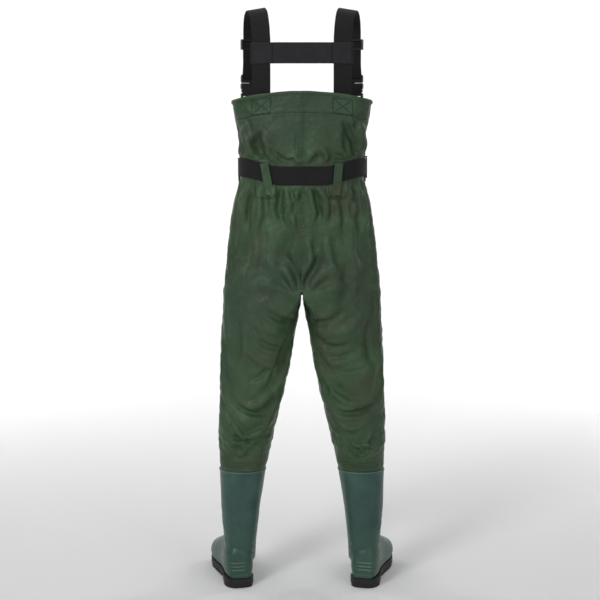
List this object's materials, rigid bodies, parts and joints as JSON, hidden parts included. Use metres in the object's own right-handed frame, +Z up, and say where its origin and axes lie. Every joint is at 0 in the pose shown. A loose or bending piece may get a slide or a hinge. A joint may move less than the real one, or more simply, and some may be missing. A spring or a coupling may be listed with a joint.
{
  "type": "chest waders",
  "caption": "Bootfoot chest waders with adjustable shoulder straps on an H-shaped back, a waist belt, a chest pocket and moulded boots.",
  "frame": {"origin": "on the floor, below the centre of the bounding box", "axes": "+X towards the wearer's right, +Y forwards (toes), +Z up; the waders are upright as worn"},
  "size_m": [0.5376, 0.3436, 1.605],
  "materials": {
    "coated_fabric": "satin",
    "inner_fabric": "matte",
    "webbing": "matte",
    "band_webbing": "matte",
    "hard_plastic": "satin",
    "boot_pvc": "gloss",
    "sole_rubber": "matte",
    "insole_foam": "matte",
    "hook_and_loop": "matte"
  },
  "bodies": {
    "torso": {"back_seam_tape": "inner_fabric", "belt_buckle_female": "hard_plastic", "belt_fixed_tab": "webbing", "belt_loop_patches": "coated_fabric", "belt_webbing": "webbing", "chest_pocket": "coated_fabric", "crotch_gusset": "coated_fabric", "flap_anchor_strip": "coated_fabric", "front_seam_tape": "inner_fabric", "hem_facing": "inner_fabric", "left_back_belt_loop": "coated_fabric", "left_bib_tab": "webbing", "left_body_panel": "coated_fabric", "left_front_belt_loop": "coated_fabric", "left_shoulder_strap": "webbing", "left_strap_buckle_female": "hard_plastic", "pocket_loop_strip": "hook_and_loop", "right_back_belt_loop": "coated_fabric", "right_bib_tab": "webbing", "right_body_panel": "coated_fabric", "right_front_belt_loop": "coated_fabric", "right_shoulder_strap": "webbing", "right_strap_buckle_female": "hard_plastic", "top_hem_roll": "coated_fabric"},
    "right_thigh": {"right_hip_section": "coated_fabric", "right_thigh_section": "coated_fabric"},
    "right_lower_leg": {"right_knee_section": "coated_fabric", "right_shin_section": "coated_fabric", "right_boot_upper": "boot_pvc", "right_outsole": "sole_rubber", "right_insole": "insole_foam"},
    "right_strap_end": {"right_strap_buckle_male": "hard_plastic", "right_front_webbing": "webbing"},
    "right_strap_outer_arm": {"right_strap_buckle_outer_arm": "hard_plastic"},
    "right_strap_inner_arm": {"right_strap_buckle_inner_arm": "hard_plastic"},
    "right_strap_slide": {"right_strap_slider": "hard_plastic"},
    "left_thigh": {"left_hip_section": "coated_fabric", "left_thigh_section": "coated_fabric"},
    "left_lower_leg": {"left_knee_section": "coated_fabric", "left_shin_section": "coated_fabric", "left_boot_upper": "boot_pvc", "left_outsole": "sole_rubber", "left_insole": "insole_foam"},
    "left_strap_end": {"left_strap_buckle_male": "hard_plastic", "left_front_webbing": "webbing"},
    "left_strap_outer_arm": {"left_strap_buckle_outer_arm": "hard_plastic"},
    "left_strap_inner_arm": {"left_strap_buckle_inner_arm": "hard_plastic"},
    "left_strap_slide": {"left_strap_slider": "hard_plastic"},
    "cross_band": {"cross_band": "band_webbing"},
    "belt_end": {"belt_buckle_male": "hard_plastic", "belt_front_webbing": "webbing"},
    "belt_upper_arm": {"belt_buckle_upper_arm": "hard_plastic"},
    "belt_lower_arm": {"belt_buckle_lower_arm": "hard_plastic"},
    "belt_slide": {"belt_slider": "hard_plastic"},
    "pocket_flap": {"pocket_flap": "coated_fabric", "flap_hook_strip": "hook_and_loop"}
  },
  "joints": [
    {"name": "right_hip", "type": "hinge", "parent": "torso", "child": "right_thigh", "pos_m": [0.122, -0.042, 0.71], "axis": [1, 0, 0], "range_deg": [-15, 45], "deforming": ["right_hip_section"]},
    {"name": "right_knee", "type": "hinge", "parent": "right_thigh", "child": "right_lower_leg", "pos_m": [0.15, -0.045, 0.47], "axis": [1, 0, 0], "range_deg": [-75, 0], "deforming": ["right_knee_section"]},
    {"name": "right_strap_release", "type": "slide", "parent": "torso", "child": "right_strap_end", "axis": [0, 0, 1], "range_m": [0, 0.026]},
    {"name": "right_strap_outer_arm_flex", "type": "hinge", "parent": "right_strap_end", "child": "right_strap_outer_arm", "pos_m": [0.16235, 0.05707, 1.4056], "axis": [0.4226, 0.9063, 0], "range_deg": [0, 24]},
    {"name": "right_strap_inner_arm_flex", "type": "hinge", "parent": "right_strap_end", "child": "right_strap_inner_arm", "pos_m": [0.12519, 0.0744, 1.4056], "axis": [0.4226, 0.9063, 0], "range_deg": [-24, 0]},
    {"name": "right_strap_slider_slide", "type": "slide", "parent": "right_strap_end", "child": "right_strap_slide", "axis": [0, 0, 1], "range_m": [-0.04, 0]},
    {"name": "left_hip", "type": "hinge", "parent": "torso", "child": "left_thigh", "pos_m": [-0.122, -0.042, 0.71], "axis": [1, 0, 0], "range_deg": [-15, 45], "deforming": ["left_hip_section"]},
    {"name": "left_knee", "type": "hinge", "parent": "left_thigh", "child": "left_lower_leg", "pos_m": [-0.15, -0.045, 0.47], "axis": [1, 0, 0], "range_deg": [-75, 0], "deforming": ["left_knee_section"]},
    {"name": "left_strap_release", "type": "slide", "parent": "torso", "child": "left_strap_end", "axis": [0, 0, 1], "range_m": [0, 0.026]},
    {"name": "left_strap_outer_arm_flex", "type": "hinge", "parent": "left_strap_end", "child": "left_strap_outer_arm", "pos_m": [-0.16235, 0.05707, 1.4056], "axis": [-0.4226, 0.9063, 0], "range_deg": [-24, 0]},
    {"name": "left_strap_inner_arm_flex", "type": "hinge", "parent": "left_strap_end", "child": "left_strap_inner_arm", "pos_m": [-0.12519, 0.0744, 1.4056], "axis": [-0.4226, 0.9063, 0], "range_deg": [0, 24]},
    {"name": "left_strap_slider_slide", "type": "slide", "parent": "left_strap_end", "child": "left_strap_slide", "axis": [0, 0, 1], "range_m": [-0.04, 0]},
    {"name": "cross_band_slide", "type": "slide", "parent": "torso", "child": "cross_band", "axis": [0, 0, 1], "range_m": [-0.06, 0]},
    {"name": "belt_release", "type": "slide", "parent": "torso", "child": "belt_end", "axis": [1, 0, 0], "range_m": [0, 0.026]},
    {"name": "belt_lower_arm_flex", "type": "hinge", "parent": "belt_end", "child": "belt_lower_arm", "pos_m": [0.0126, 0.0758, 1.1295], "axis": [0, 1, 0], "range_deg": [0, 24]},
    {"name": "belt_upper_arm_flex", "type": "hinge", "parent": "belt_end", "child": "belt_upper_arm", "pos_m": [0.0126, 0.0758, 1.1705], "axis": [0, 1, 0], "range_deg": [-24, 0]},
    {"name": "belt_slider_slide", "type": "slide", "parent": "torso", "child": "belt_slide", "axis": [0, 1, 0], "range_m": [-0.012, 0.012]},
    {"name": "pocket_flap_hinge", "type": "hinge", "parent": "torso", "child": "pocket_flap", "pos_m": [0, 0.08255, 1.332], "axis": [1, 0, 0], "range_deg": [0, 120]}
  ],
  "couplings": [
    {"joint": "right_strap_outer_arm_flex", "follows": "right_strap_release", "rad_per_m": 15.6},
    {"joint": "right_strap_inner_arm_flex", "follows": "right_strap_release", "rad_per_m": -15.6},
    {"joint": "left_strap_outer_arm_flex", "follows": "left_strap_release", "rad_per_m": -15.6},
    {"joint": "left_strap_inner_arm_flex", "follows": "left_strap_release", "rad_per_m": 15.6},
    {"joint": "belt_lower_arm_flex", "follows": "belt_release", "rad_per_m": 15.6},
    {"joint": "belt_upper_arm_flex", "follows": "belt_release", "rad_per_m": -15.6}
  ]
}
